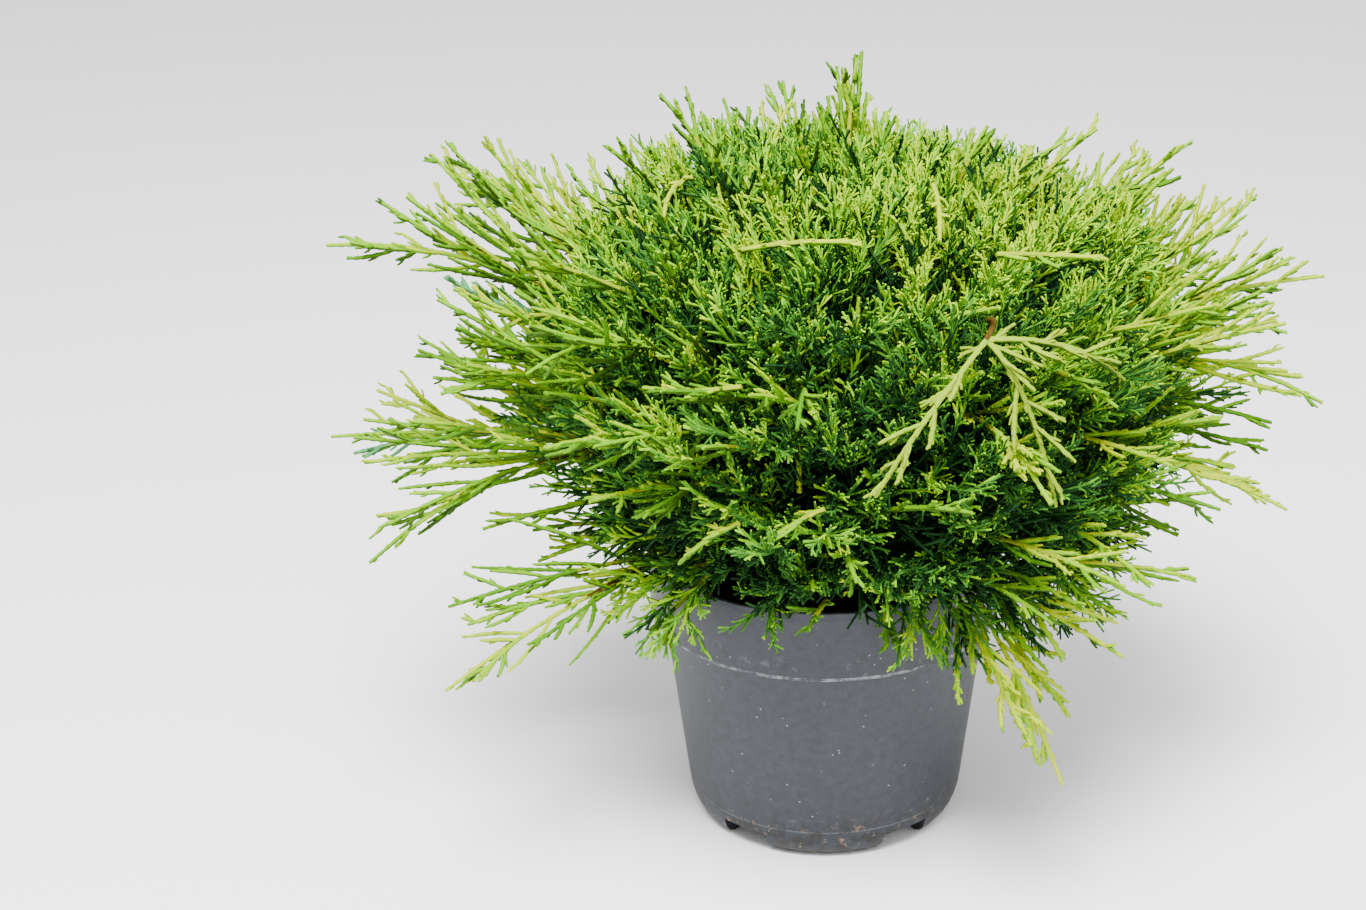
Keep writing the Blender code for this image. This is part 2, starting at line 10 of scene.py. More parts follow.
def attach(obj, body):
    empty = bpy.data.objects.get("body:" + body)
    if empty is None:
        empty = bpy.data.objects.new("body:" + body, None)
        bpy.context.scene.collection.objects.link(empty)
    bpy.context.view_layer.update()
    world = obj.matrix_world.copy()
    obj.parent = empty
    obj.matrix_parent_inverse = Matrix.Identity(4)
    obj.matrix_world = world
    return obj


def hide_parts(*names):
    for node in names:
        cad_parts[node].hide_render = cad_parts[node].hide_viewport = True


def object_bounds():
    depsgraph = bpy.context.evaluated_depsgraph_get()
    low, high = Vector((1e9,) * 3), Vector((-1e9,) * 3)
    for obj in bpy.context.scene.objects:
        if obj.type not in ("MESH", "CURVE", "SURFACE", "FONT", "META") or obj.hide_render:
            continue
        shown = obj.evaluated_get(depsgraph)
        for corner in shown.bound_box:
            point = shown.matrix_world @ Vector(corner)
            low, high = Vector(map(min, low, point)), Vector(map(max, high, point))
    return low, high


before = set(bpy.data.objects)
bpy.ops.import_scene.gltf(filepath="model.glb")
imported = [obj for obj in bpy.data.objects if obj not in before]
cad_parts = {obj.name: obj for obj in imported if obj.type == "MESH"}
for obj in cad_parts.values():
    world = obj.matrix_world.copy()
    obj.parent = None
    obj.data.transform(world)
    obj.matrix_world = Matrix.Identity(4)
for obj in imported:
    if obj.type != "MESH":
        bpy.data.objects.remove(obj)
cad_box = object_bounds()

# Real sizes of pot, soil, trunk and crown, as the frame has them
POT_HEIGHT = 0.128
RIM_RADIUS = 0.0779
BAND_BOTTOM = 0.0955
SOIL_LEVEL = 0.113
SOIL_TOP = 0.116
TRUNK_TOP = 0.158
TRUNK_FLARE_RADIUS = 0.0115
TRUNK_RADIUS = 0.0080
TRUNK_TOP_RADIUS = 0.0058
TRUNK_LEAN = 0.004
FLARE_HEIGHT = 0.0035
CROWN_OFFSET = 0.015
CROWN_DEPTH_FACTOR = 0.97
CROWN_BOTTOM = 0.108
CROWN_BOTTOM_RADIUS = 0.104
CROWN_WIDEST = 0.215
CROWN_RADIUS = 0.132
CROWN_TOP = 0.294
CROWN_ROUNDNESS = 3.2
CROWN_LEAN = 0.12
BARE_RIM = 0.058
BARE_RIM_RISE = 0.012
CEILING = 0.333
CEILING_OFFSET = -0.012
CEILING_SLOPE = 0.50
SHOULDER = 0.050
SHOULDER_SLOPE = 0.30
CLUMP_SIZE = 0.045
BOUGH_RADIUS = 0.0023
BOUGH_TIP_RADIUS = 0.0015
GAP = 0.0003

# Camera: 95 cm in front of the pot, looking down at it
CAMERA_DISTANCE = 0.9506
CAMERA_HEIGHT = 0.5644
CAMERA_PITCH = 22.787
PHOTO_WIDTH = 1366
POT_COLUMN = 825
FOCAL_PIXELS = 2403.3
SENSOR = 36.0

# Each limb: bearing, then reach and height of its furthest tip, the height that
# its arc is drawn up to half way out, and the seed of its forks
TIERS = {
    "top": (
        ("centre", 143.0, 0.025, 0.3360, 0.250, 69),
        ("front_left", -62.0, 0.056, 0.314, 0.240, 58),
        ("front_right", 66.0, 0.078, 0.300, 0.240, 2),
        ("back", -144.0, 0.074, 0.306, 0.240, 35),
    ),
    "upper": (
        ("left", -84.0, 0.203, 0.266, 0.270, 38),
        ("back_left", -115.0, 0.184, 0.269, 0.248, 5),
        ("back", 178.0, 0.170, 0.262, 0.290, 148),
        ("back_right", 112.0, 0.172, 0.286, 0.240, 95),
        ("right", 89.0, 0.207, 0.247, 0.237, 96),
        ("front_right", 44.0, 0.158, 0.232, 0.262, 9),
        ("front", -4.0, 0.146, 0.236, 0.262, 8),
        ("front_left", -44.0, 0.160, 0.246, 0.272, 151),
    ),
    "middle": (
        ("left", -98.0, 0.220, 0.161, 0.176, 6),
        ("left_front", -69.0, 0.164, 0.216, 0.240, 55),
        ("front_left", -28.0, 0.142, 0.186, 0.215, 16),
        ("front_right", 30.8, 0.163, 0.204, 0.262, 17),
        ("right", 84.5, 0.208, 0.197, 0.255, 87),
        ("back_right", 138.0, 0.186, 0.196, 0.225, 19),
        ("back_left", -144.0, 0.186, 0.190, 0.225, 97),
    ),
    "lower": (
        ("left", -78.0, 0.195, 0.133, 0.218, 145),
        ("left_long", -57.5, 0.181, 0.103, 0.146, 191),
        ("front_left", -37.0, 0.108, 0.118, 0.172, 52),
        ("front", 17.0, 0.103, 0.118, 0.172, 24),
        ("front_long", 41.5, 0.145, 0.066, 0.178, 34),
        ("right", 77.0, 0.196, 0.159, 0.210, 70),
        ("back_right", 124.0, 0.168, 0.120, 0.190, 151),
        ("back", 174.0, 0.160, 0.104, 0.190, 28),
        ("back_left", -126.0, 0.166, 0.118, 0.190, 15),
    ),
}
# Height on the trunk and first slope of each tier's boughs, and how much its
# side axes droop, and how many they are
TIER_RULES = {
    "top": (0.1500, 68.0, 0.0, 4),
    "upper": (0.1415, 48.0, -0.18, 7),
    "middle": (0.1320, 30.0, -0.10, 6),
    "lower": (0.1225, 22.0, 0.25, 6),
}
SEED = 41

# Long side axes that each limb forks into: where, how wide and how long
FORK_START = 0.40
FORK_END = 0.86
FORK_SPREAD = 22.0
FORK_LENGTH = 0.95
FORK_SWING = 0.35
FORK_POINTS = 7
FRONT_BEARING = 60.0
FRONT_FORKS = 4

# Growth of the sprays that cover the dense body
CLUMP_RINGS = (0.118, 0.143, 0.170, 0.198, 0.226, 0.250, 0.270, 0.284, 0.291)
CAP_RINGS = ((0.013, 0.296, 3), (0.040, 0.293, 7))
CLUMP_WIDTH = 0.050
CLUMP_SPRAYS = 7
SPRAY_LENGTH = 0.054
BRANCHLETS = 7
BRANCHLET_LENGTH = 0.030
BRANCHLET_SPREAD = 27.0
TWIG_STEP = 0.0033
TWIG_LENGTH = 0.0085
TWIG_SPREAD = 32.0
NUB_LENGTH = 0.0028
SHOOT_RADIUS = 0.00068
LONG_SHOOT_RADIUS = 0.00095
STOUT = 1.15
WHIP_LENGTH = 0.056
WHIP_SPREAD = 34.0
WHIP_STEPS = (0.006, 0.012)
STRAW_SHARE = 0.55
STRAW_SPRAYS = 0.60
EDGE_SPRAYS = 190
EDGE_LENGTH = 0.058
BARE_DEPTH = 0.70
INNER_SHOOTS = 4200
INNER_LENGTH = 0.036
LEAF_LENGTH = 0.0020
LEAF_RELIEF = 0.26
# Painted shade: how far down a shoot's face turns before it takes the darker material
PAINTED_SHADE_SLOPE = -0.25
PIECE_TRIANGLES = 150000


def linear(hex_colour):
    """Linear colour of an sRGB hex value."""
    values = [int(hex_colour[i:i + 2], 16) / 255.0 for i in (0, 2, 4)]
    return tuple(
        v / 12.92 if v <= 0.04045 else ((v + 0.055) / 1.055) ** 2.4 for v in values
    ) + (1.0,)


def add_node(tree, kind, settings=None, links=None, values=None):
    """A node with its settings, socket values and incoming links."""
    node = tree.nodes.new(kind)
    for key, value in (settings or {}).items():
        setattr(node, key, value)
    for key, value in (values or {}).items():
        node.inputs[key].default_value = value
    for key, source in (links or {}).items():
        tree.links.new(source, node.inputs[key])
    return node


def new_material(name, colour, roughness, specular=0.5):
    material = bpy.data.materials.new(name)
    material.use_nodes = True
    tree = material.node_tree
    shader = tree.nodes["Principled BSDF"]
    shader.inputs["Base Color"].default_value = linear(colour)
    shader.inputs["Roughness"].default_value = roughness
    shader.inputs["Specular IOR Level"].default_value = specular
    return material, tree, shader


def within(tree, value, middle, half):
    """1 where a value lies within half a width of the middle, 0 elsewhere."""
    return add_node(tree, "ShaderNodeMath", settings={"operation": "COMPARE"},
                    links={0: value}, values={1: middle, 2: half}).outputs["Value"]


def ramp(tree, value, low, high, from_colour="000000", to_colour="FFFFFF"):
    """Colour that goes from one to another between two values."""
    node = add_node(tree, "ShaderNodeValToRGB", links={"Fac": value})
    node.color_ramp.elements[0].position = low
    node.color_ramp.elements[0].color = linear(from_colour)
    node.color_ramp.elements[1].position = high
    node.color_ramp.elements[1].color = linear(to_colour)
    return node.outputs["Color"]


def times(tree, one, other):
    return add_node(tree, "ShaderNodeMath", settings={"operation": "MULTIPLY"},
                    links={0: one, 1: other}).outputs["Value"]


def blend(tree, share, under, over):
    """An even colour laid over another one, by the share that it covers."""
    node = add_node(tree, "ShaderNodeMix", settings={"data_type": "RGBA"},
                    links={0: share, 6: under})
    node.inputs[7].default_value = linear(over)
    return node.outputs[2]


def moulded_polypropylene():
    """Matt blue-grey moulded polypropylene: a fine even mottle, pale specks, scuffs on the band's
    lower edge over a painted shadow line under it, a fine seam and splashes of soil near the foot."""
    material, tree, shader = new_material("moulded polypropylene", "26282B", 0.5, 0.36)
    place = add_node(tree, "ShaderNodeTexCoord").outputs["Object"]
    height = add_node(tree, "ShaderNodeSeparateXYZ", links={"Vector": place}).outputs["Z"]
    mottle = add_node(tree, "ShaderNodeTexNoise", links={"Vector": place},
                      values={"Scale": 260.0, "Detail": 6.0, "Roughness": 0.7}).outputs["Fac"]
    colour = ramp(tree, mottle, 0.36, 0.66, "161920", "23272F")
    cells = add_node(tree, "ShaderNodeTexVoronoi", links={"Vector": place},
                     values={"Scale": 260.0})
    dots = ramp(tree, cells.outputs["Distance"], 0.07, 0.13, "FFFFFF", "000000")
    few = ramp(tree, cells.outputs["Color"], 0.69, 0.71)
    colour = blend(tree, times(tree, dots, few), colour, "75787C")
    streaks = add_node(tree, "ShaderNodeTexNoise", links={"Vector": place},
                       values={"Scale": 120.0, "Detail": 8.0, "Roughness": 0.75}).outputs["Fac"]
    worn = ramp(tree, streaks, 0.44, 0.60)
    edge = within(tree, height, BAND_BOTTOM + 0.0009, 0.0010)
    colour = blend(tree, times(tree, edge, worn), colour, "7C8084")
    scuffs = ramp(tree, streaks, 0.56, 0.68)
    band = ramp(tree, height, BAND_BOTTOM, BAND_BOTTOM + 0.014, "FFFFFF", "000000")
    above = within(tree, height, BAND_BOTTOM + 0.008, 0.008)
    scuffed = times(tree, times(tree, band, above), scuffs)
    colour = blend(tree, scuffed, colour, "5A5E62")
    # Painted shadow: a near-black line just under the band's lower edge
    under = within(tree, height, BAND_BOTTOM - 0.0013, 0.0012)
    colour = blend(tree, under, colour, "08090B")
    seam = within(tree, height, 0.0142, 0.00035)
    colour = blend(tree, seam, colour, "3C3F43")
    soiled = ramp(tree, streaks, 0.50, 0.54)
    foot = ramp(tree, height, 0.010, 0.026, "FFFFFF", "000000")
    colour = blend(tree, times(tree, soiled, foot), colour, "0B0806")
    crumbs = ramp(tree, mottle, 0.60, 0.63)
    low = ramp(tree, height, 0.008, 0.022, "FFFFFF", "000000")
    colour = blend(tree, times(tree, crumbs, low), colour, "7A5F44")
    tree.links.new(colour, shader.inputs["Base Color"])
    grain = add_node(tree, "ShaderNodeTexNoise", links={"Vector": place},
                     values={"Scale": 900.0, "Detail": 2.0})
    bump = add_node(tree, "ShaderNodeBump", links={"Height": grain.outputs["Fac"]},
                    values={"Strength": 0.2, "Distance": 0.0003})
    tree.links.new(bump.outputs["Normal"], shader.inputs["Normal"])
    return material


def potting_soil():
    """Dark damp peat, in crumbs of about 2 mm."""
    material, tree, shader = new_material("potting soil", "4A2E20", 0.95, 0.2)
    place = add_node(tree, "ShaderNodeTexCoord").outputs["Object"]
    crumbs = add_node(tree, "ShaderNodeTexNoise", links={"Vector": place},
                      values={"Scale": 500.0, "Detail": 4.0})
    bump = add_node(tree, "ShaderNodeBump", links={"Height": crumbs.outputs["Fac"]},
                    values={"Strength": 0.9, "Distance": 0.002})
    tree.links.new(bump.outputs["Normal"], shader.inputs["Normal"])
    return material


def juniper_bark():
    """Thin brown bark that peels in strips along the limb."""
    material, tree, shader = new_material("juniper bark", "7A5638", 0.85, 0.12)
    place = add_node(tree, "ShaderNodeTexCoord").outputs["Object"]
    strips = add_node(tree, "ShaderNodeTexNoise", links={"Vector": place},
                      values={"Scale": 350.0, "Detail": 5.0, "Distortion": 1.0})
    tint = add_node(tree, "ShaderNodeValToRGB", links={"Fac": strips.outputs["Fac"]})
    tint.color_ramp.elements[0].color = linear("2A1E06")
    tint.color_ramp.elements[1].color = linear("54400C")
    tree.links.new(tint.outputs["Color"], shader.inputs["Base Color"])
    bump = add_node(tree, "ShaderNodeBump", links={"Height": strips.outputs["Fac"]},
                    values={"Strength": 0.6, "Distance": 0.001})
    tree.links.new(bump.outputs["Normal"], shader.inputs["Normal"])
    return material


def scale_leaf(name, colour):
    """Waxy scale leaves pressed to the shoot, one plain tone for each spray."""
    material, tree, shader = new_material(name, colour, 0.55, 0.05)
    place = add_node(tree, "ShaderNodeTexCoord").outputs["Object"]
    scales = add_node(tree, "ShaderNodeTexVoronoi", links={"Vector": place},
                      values={"Scale": 650.0})
    bump = add_node(tree, "ShaderNodeBump", links={"Height": scales.outputs["Distance"]},
                    values={"Strength": 0.5, "Distance": 0.0006})
    tree.links.new(bump.outputs["Normal"], shader.inputs["Normal"])
    return material


# Plain tones, dealt out by spray: those of the dense body from shade to new tips,
# then those of the long sprays, which stand in full light, and three single ones
TONES = (
    ("shaded green", "143315"),
    ("deep green", "25501B"),
    ("green", "3B6E22"),
    ("leaf green", "58941D"),
    ("lime green", "80B800"),
    ("yellow green", "A0C400"),
    ("olive spray", "314F0E"),
    ("green spray", "477A08"),
    ("lime spray", "619400"),
    ("yellow spray", "7CA200"),
    ("golden spray", "98AC00"),
    ("blue green", "4C8B57"),
    ("straw yellow", "86960A"),
    ("pale frond", "7E981A"),
)
BODY_TONES = 6
LIME = 8
YELLOW = 9
GOLD = 10
BLUE_GREEN = 11
STRAW = 12
PALE = 13


def polar(bearing, radius, height):
    angle = math.radians(bearing)
    return Vector((radius * math.sin(angle), -radius * math.cos(angle), height))


def trunk_axis(height):
    share = (height - SOIL_LEVEL) / (TRUNK_TOP - SOIL_LEVEL)
    return Vector((TRUNK_LEAN * share * abs(share), 0.0, height))


def trunk_radius(height):
    share = (height - SOIL_LEVEL) / (TRUNK_TOP - SOIL_LEVEL)
    taper = TRUNK_RADIUS + (TRUNK_TOP_RADIUS - TRUNK_RADIUS) * share
    flare = (TRUNK_FLARE_RADIUS - TRUNK_RADIUS) * math.exp(-(height - SOIL_LEVEL) / FLARE_HEIGHT)
    return taper + flare


def limb_arc(root, slope, bearing, reach, height, arch):
    tip = polar(bearing, reach, height)
    middle = polar(bearing, 0.5 * reach, arch)
    rise = (tip - root).length * 0.22
    outward = Vector((root.x, root.y, 0.0)).normalized()
    tilt = math.radians(slope)
    first = root + rise * (math.cos(tilt) * outward + math.sin(tilt) * Vector((0, 0, 1)))

    def at(share):
        rest = 1.0 - share
        return (
            rest ** 3 * root
            + 3.0 * rest ** 2 * share * first
            + 3.0 * rest * share ** 2 * middle
            + share ** 3 * tip
        )

    return at


def plan_masses():
    masses = []
    for tier, rows in TIERS.items():
        root_height, slope, droop, forks = TIER_RULES[tier]
        ordered = sorted(rows, key=lambda row: row[1])
        turn = 360.0 / len(ordered)
        centre = sum(row[1] for row in ordered) / len(ordered)
        for index, (name, bearing, reach, height, arch, seed) in enumerate(ordered):
            root_bearing = centre + turn * (index - (len(ordered) - 1) / 2.0)
            tilt = BOUGH_RADIUS * math.sin(math.radians(slope))
            distance = trunk_radius(root_height) + tilt + GAP
            root = polar(root_bearing, distance, root_height)
            root.x += trunk_axis(root_height).x
            arc = limb_arc(root, slope, bearing, reach, height, arch)
            front = abs(bearing) < FRONT_BEARING
            masses.append({
                "name": tier + "_" + name,
                "arc": arc,
                "droop": droop,
                "forks": min(forks, FRONT_FORKS) if front else forks,
                "front": front,
                "seed": seed,
            })
    return masses


def crown_radius(height):
    if height <= CROWN_BOTTOM or height >= CROWN_TOP:
        return 0.0
    if height < CROWN_WIDEST:
        share = (height - CROWN_BOTTOM) / (CROWN_WIDEST - CROWN_BOTTOM)
        swell = math.sin(share * math.pi / 2.0)
        return CROWN_BOTTOM_RADIUS + (CROWN_RADIUS - CROWN_BOTTOM_RADIUS) * swell
    share = (height - CROWN_WIDEST) / (CROWN_TOP - CROWN_WIDEST)
    return CROWN_RADIUS * (1.0 - share ** CROWN_ROUNDNESS) ** (1.0 / CROWN_ROUNDNESS)


def crown_depth(point):
    """0 at the middle of the dense body, 1 at its surface."""
    base = CROWN_BOTTOM + 0.4 * (CROWN_TOP - CROWN_BOTTOM)
    low, high = 0.0, 2.0
    for _ in range(12):
        share = (low + high) / 2.0
        if share < 0.01:
            break
        height = base + (point.z - base) / share
        across = (point.x - CROWN_OFFSET) / share
        deep = point.y / (share * CROWN_DEPTH_FACTOR)
        if math.hypot(across, deep) < crown_radius(height):
            high = share
        else:
            low = share
    return high


def clear_of_pot(point):
    if point.z > POT_HEIGHT + 0.002:
        return True
    return math.hypot(point.x, point.y) > RIM_RADIUS + 0.002


def under_ceiling(point):
    """Whether a point is under the crown's top: a low point over flat shoulders."""
    out = math.hypot(point.x - CEILING_OFFSET, point.y)
    top = CEILING - CEILING_SLOPE * min(out, SHOULDER) - SHOULDER_SLOPE * max(0.0, out - SHOULDER)
    return point.z < top


def over_pot(point):
    """Whether a point hangs before the pot, at its rim or below."""
    before = point.y < 0.0 and abs(point.x) < BARE_RIM
    return before and point.z < POT_HEIGHT + BARE_RIM_RISE


def clump(point, size):
    """Smooth noise from -1 to 1 that gathers the foliage in clumps of a size."""
    return noise.noise(point / size)


def outward_way(point):
    way = point - Vector((CROWN_OFFSET * 0.5, 0.0, 0.150))
    way.z *= 0.9
    return way.normalized()


class Foliage:
    """Collects the centre lines of the shoots, by tone, fine and long ones apart."""

    def __init__(self, low, high):
        self.fine = {tone: [] for tone in range(len(TONES))}
        self.long = {tone: [] for tone in range(len(TONES))}
        self.stems = []
        self.low = low
        self.high = high
        self.girth = LONG_SHOOT_RADIUS

    def fits(self, points):
        for point in points:
            if not clear_of_pot(point):
                return False
            for low, value, high in zip(self.low, point, self.high):
                if not low < value < high:
                    return False
        return True

    def add(self, kept, points, radii):
        if not self.fits(points):
            return False
        kept.append((points, radii))
        return True


def side_of(way):
    side = way.cross(Vector((0, 0, 1)))
    if side.length < 0.15:
        side = way.cross(Vector((1, 0, 0)))
    return side.normalized()


def turned_off(along, side, spread, roll):
    """Way of a side shoot: off its parent by the spread, rolled round it."""
    off = side.copy()
    off.rotate(Matrix.Rotation(roll, 3, along))
    return (along * math.cos(spread) + off * math.sin(spread)).normalized()


def bend_line(start, way, length, count, curl):
    """Points of a shoot whose heading turns by the curl over its length."""
    points = [start]
    heading = way.copy()
    for _ in range(count - 1):
        points.append(points[-1] + heading * (length / (count - 1)))
        heading = (heading + curl / (count - 1)).normalized()
    return points


def on_line(points, share):
    """Place on a line, and its heading there."""
    position = min(0.9999, share) * (len(points) - 1)
    segment = int(position)
    start, end = points[segment], points[segment + 1]
    return start.lerp(end, position - segment), (end - start).normalized()


def lighter(tone, steps=1):
    """Tone some steps lighter, or darker, among those of its own kind."""
    if tone >= BLUE_GREEN:
        return tone
    if tone >= BODY_TONES:
        return max(BODY_TONES, min(BLUE_GREEN - 1, tone + steps))
    return max(0, min(BODY_TONES - 1, tone + steps))


def painted_light_and_shade(tone, way, along, rng):
    """Tone of a side shoot: lighter on the upper side of its parent, partly sun-yellowed growth and
    partly painted light, and darker below, as painted shade.
    """
    rise = way.z - along.z + rng.gauss(0.0, 0.12)
    if rise > 0.14:
        return lighter(tone)
    if rise < -0.14:
        return lighter(tone, -1 if rise > -0.34 else -2)
    return tone


def grow_branchlet(foliage, rng, foot, way, length, tone, radius):
    """Short axis with twigs of scale leaves on two sides, the last ones lighter: partly new growth,
    partly painted highlight.

    Deep in the crown, where no light reaches, it stays bare.
    """
    curl = Vector((rng.gauss(0, 0.2), rng.gauss(0, 0.2), 0.30))
    while length > 0.008 and not under_ceiling(foot + way * length):
        length *= 0.8
    points = bend_line(foot, way, length, 4, curl)
    if over_pot(points[-1]) and not over_pot(foot):
        return
    radii = [radius * value for value in (0.80, 0.95, 1.0, 0.62)]
    if not foliage.add(foliage.fine[tone], points, radii):
        return
    side = side_of(way)
    count = max(2, int(length * 0.80 / TWIG_STEP))
    hidden = crown_depth(foot) < BARE_DEPTH
    hand = rng.choice((0.0, math.pi))
    plane = rng.uniform(0.0, math.pi)
    for index in range(count):
        share = 0.14 + 0.80 * (index + rng.uniform(-0.25, 0.25)) / count
        start, along = on_line(points, max(0.05, share))
        roll = plane + hand + rng.gauss(0.0, 0.55)
        twig = turned_off(along, side, math.radians(rng.gauss(TWIG_SPREAD, 6.0)), roll)
        size = TWIG_LENGTH * rng.uniform(0.7, 1.25) * (1.2 - 0.75 * share)
        # Twigs lighter towards the tip: partly new growth, partly painted highlight
        tip_and_highlight_tone = lighter(tone) if rng.random() < 0.2 + 0.6 * share else tone
        if rng.random() < 0.35 * share:
            tip_and_highlight_tone = lighter(tip_and_highlight_tone)
        end = start + (twig + along * 0.15).normalized() * size
        if not hidden:
            foliage.add(foliage.fine[tip_and_highlight_tone], [start, end], [radius * 0.92, radius * 0.68])
        if size > 0.0055:
            off = turned_off(twig, side_of(twig), math.radians(34.0), rng.uniform(0.0, math.tau))
            base = start.lerp(end, rng.uniform(0.35, 0.6))
            nub = base + off * NUB_LENGTH * rng.uniform(0.8, 1.3)
            if not hidden:
                foliage.add(foliage.fine[tip_and_highlight_tone], [base, nub], [radius * 0.8, radius * 0.62])
        hand += math.pi


def grow_spray(foliage, rng, root, way, length, tone):
    """Spray of the dense body: an axis with branchlets all round it."""
    lift = 0.1 + 2.2 * max(0.0, root.z - 0.15)
    curl = Vector((rng.gauss(0, 0.15), rng.gauss(0, 0.15), lift + rng.gauss(0, 0.1)))
    while length > 0.02 and not under_ceiling(root + way * (length + 0.012)):
        length *= 0.85
    if over_pot(root + way * length):
        return
    dress_spray(foliage, rng, bend_line(root, way, length, 5, curl), tone)


def dress_spray(foliage, rng, points, tone):
    """Axis of a spray with its branchlets, to alternate sides."""
    radii = [SHOOT_RADIUS * value for value in (1.25, 1.2, 1.1, 1.0, 0.7)]
    if not foliage.add(foliage.fine[tone], points, radii):
        return
    side = side_of((points[1] - points[0]).normalized())
    hand = rng.choice((0.0, math.pi))
    for index in range(BRANCHLETS):
        share = 0.22 + 0.70 * index / BRANCHLETS + rng.uniform(-0.03, 0.03)
        foot, along = on_line(points, share)
        spread = math.radians(rng.gauss(BRANCHLET_SPREAD, 6.0))
        branch = turned_off(along, side, spread, hand + rng.gauss(0.0, 0.75))
        size = BRANCHLET_LENGTH * rng.uniform(0.75, 1.2) * (1.25 - 0.62 * share)
        shade = painted_light_and_shade(tone, branch, along, rng)
        grow_branchlet(foliage, rng, foot, branch, size, shade, SHOOT_RADIUS)
        hand += math.pi
    foot, along = on_line(points, 0.90)
    grow_branchlet(foliage, rng, foot, along, 0.014, lighter(tone), SHOOT_RADIUS)


def crown_tone(point, rng):
    """Tone of a spray: lime and gold high up and at the edges, deep green low down, though the lowest
    sprays are a step lighter, partly for the lime sprays near the rim and partly as painted light.
    """
    height = max(0.0, min(1.0, (point.z - 0.115) / 0.19))
    edge = math.hypot(point.x - CROWN_OFFSET, point.y * 0.6) / CROWN_RADIUS
    score = 0.8 + 3.3 * height * height + 1.0 * max(0.0, edge - 0.55)
    score += 16.0 * height * max(0.0, point.x) + 0.7 * clump(point, CLUMP_SIZE)
    # Lowest sprays a step lighter: partly lime sprays near the rim, partly painted light on the lower
    # crown
    if point.z < 0.175:
        score += 0.6
    return max(0, min(BODY_TONES - 1, int(score + rng.gauss(0.0, 0.35))))


def surface_point(rng, low, high):
    """Random point whose depth in the clumped dense body is from low to high."""
    reach = CROWN_RADIUS * high * 1.1
    while True:
        point = Vector((
            rng.uniform(-reach, reach) + CROWN_OFFSET,
            rng.uniform(-reach, reach),
            rng.uniform(CROWN_BOTTOM - 0.005, CROWN_TOP + 0.015),
        ))
        front = abs(point.x) < 0.06 and point.y < 0.0
        if front and point.z < POT_HEIGHT - 0.008:
            continue
        if low < crown_depth(point) / (1.0 + 0.10 * clump(point, CLUMP_SIZE)) < high:
            return point


def clump_tips(rng):
    """Middle of each clump at the surface, in rings that give the crown its tiers."""
    for ring, height in enumerate(CLUMP_RINGS):
        radius = crown_radius(height) * 0.95
        count = max(3, round(math.tau * radius / CLUMP_WIDTH))
        for index in range(count):
            bearing = 360.0 * (index + 0.5 * (ring % 2) + rng.uniform(-0.28, 0.28)) / count
            stretch = rng.uniform(0.90, 1.08)
            tip = polar(bearing, radius * stretch, height + rng.uniform(-0.009, 0.009))
            tip.x += CROWN_OFFSET
            tip.y *= CROWN_DEPTH_FACTOR
            tip.z -= CROWN_LEAN * tip.x * max(0.0, 1.0 - (tip.z - CROWN_BOTTOM) / 0.05)
            if abs(tip.x) < BARE_RIM and tip.y < 0.0:
                tip.z = max(tip.z, POT_HEIGHT + 0.024)
            yield tip


def cap_tips(rng):
    """Middle of each clump that closes the crown's top."""
    for radius, height, count in CAP_RINGS:
        for index in range(count):
            bearing = 360.0 * (index + rng.uniform(-0.2, 0.2)) / count
            tip = polar(bearing, radius, height + rng.uniform(-0.004, 0.004))
            tip.x += CROWN_OFFSET
            yield tip


def grow_crown(foliage, rng, tips):
    """The dense body: fans of sprays, each fan from one foot inside the crown."""
    for tip in tips:
        way = outward_way(tip)
        up = max(-0.3, min(1.1, (tip.z - 0.150) * 8.0))
        way = (way + Vector((0.0, 0.0, 0.75 * up))).normalized()
        foot = tip - way * SPRAY_LENGTH
        tone = crown_tone(tip, rng)
        across = side_of(way)
        for index in range(CLUMP_SPRAYS):
            fan = 2.0 * (index + rng.uniform(0.1, 0.9)) / CLUMP_SPRAYS - 1.0
            lift = rng.gauss(0.08, 0.20)
            heading = way + across * fan * 0.62 + way.cross(across) * lift
            length = SPRAY_LENGTH * rng.uniform(0.82, 1.16) * (1.0 - 0.12 * abs(fan))
            start = foot + across * fan * 0.010
            start += Vector((rng.gauss(0, 0.003), rng.gauss(0, 0.003), rng.gauss(0, 0.003)))
            shade = lighter(tone, rng.choice((-1, 0, 0, 0, 1)))
            grow_spray(foliage, rng, start, heading.normalized(), length, shade)


def grow_edges(foliage, rng):
    """Longer sprays that stand out of the dense body all round."""
    for _ in range(EDGE_SPRAYS):
        foot = surface_point(rng, 0.78, 0.92)
        way = outward_way(foot)
        way += Vector((rng.gauss(0, 0.35), rng.gauss(0, 0.35), rng.gauss(0.0, 0.20)))
        way.normalize()
        length = EDGE_LENGTH * rng.uniform(0.6, 1.25)
        droop = 0.35 - 1.6 * (foot.z - CROWN_BOTTOM)
        axis = bend_line(foot, way, length, 6, Vector((0.0, 0.0, -droop)))
        if not under_ceiling(axis[-1]) or over_pot(axis[-1]) or axis[-1].z < CROWN_BOTTOM:
            continue
        tone = BODY_TONES + min(4, crown_tone(axis[-1], rng))
        grow_feather(foliage, rng, axis, lighter(tone, rng.choice((-1, 0, 0, 1))), 0.12)


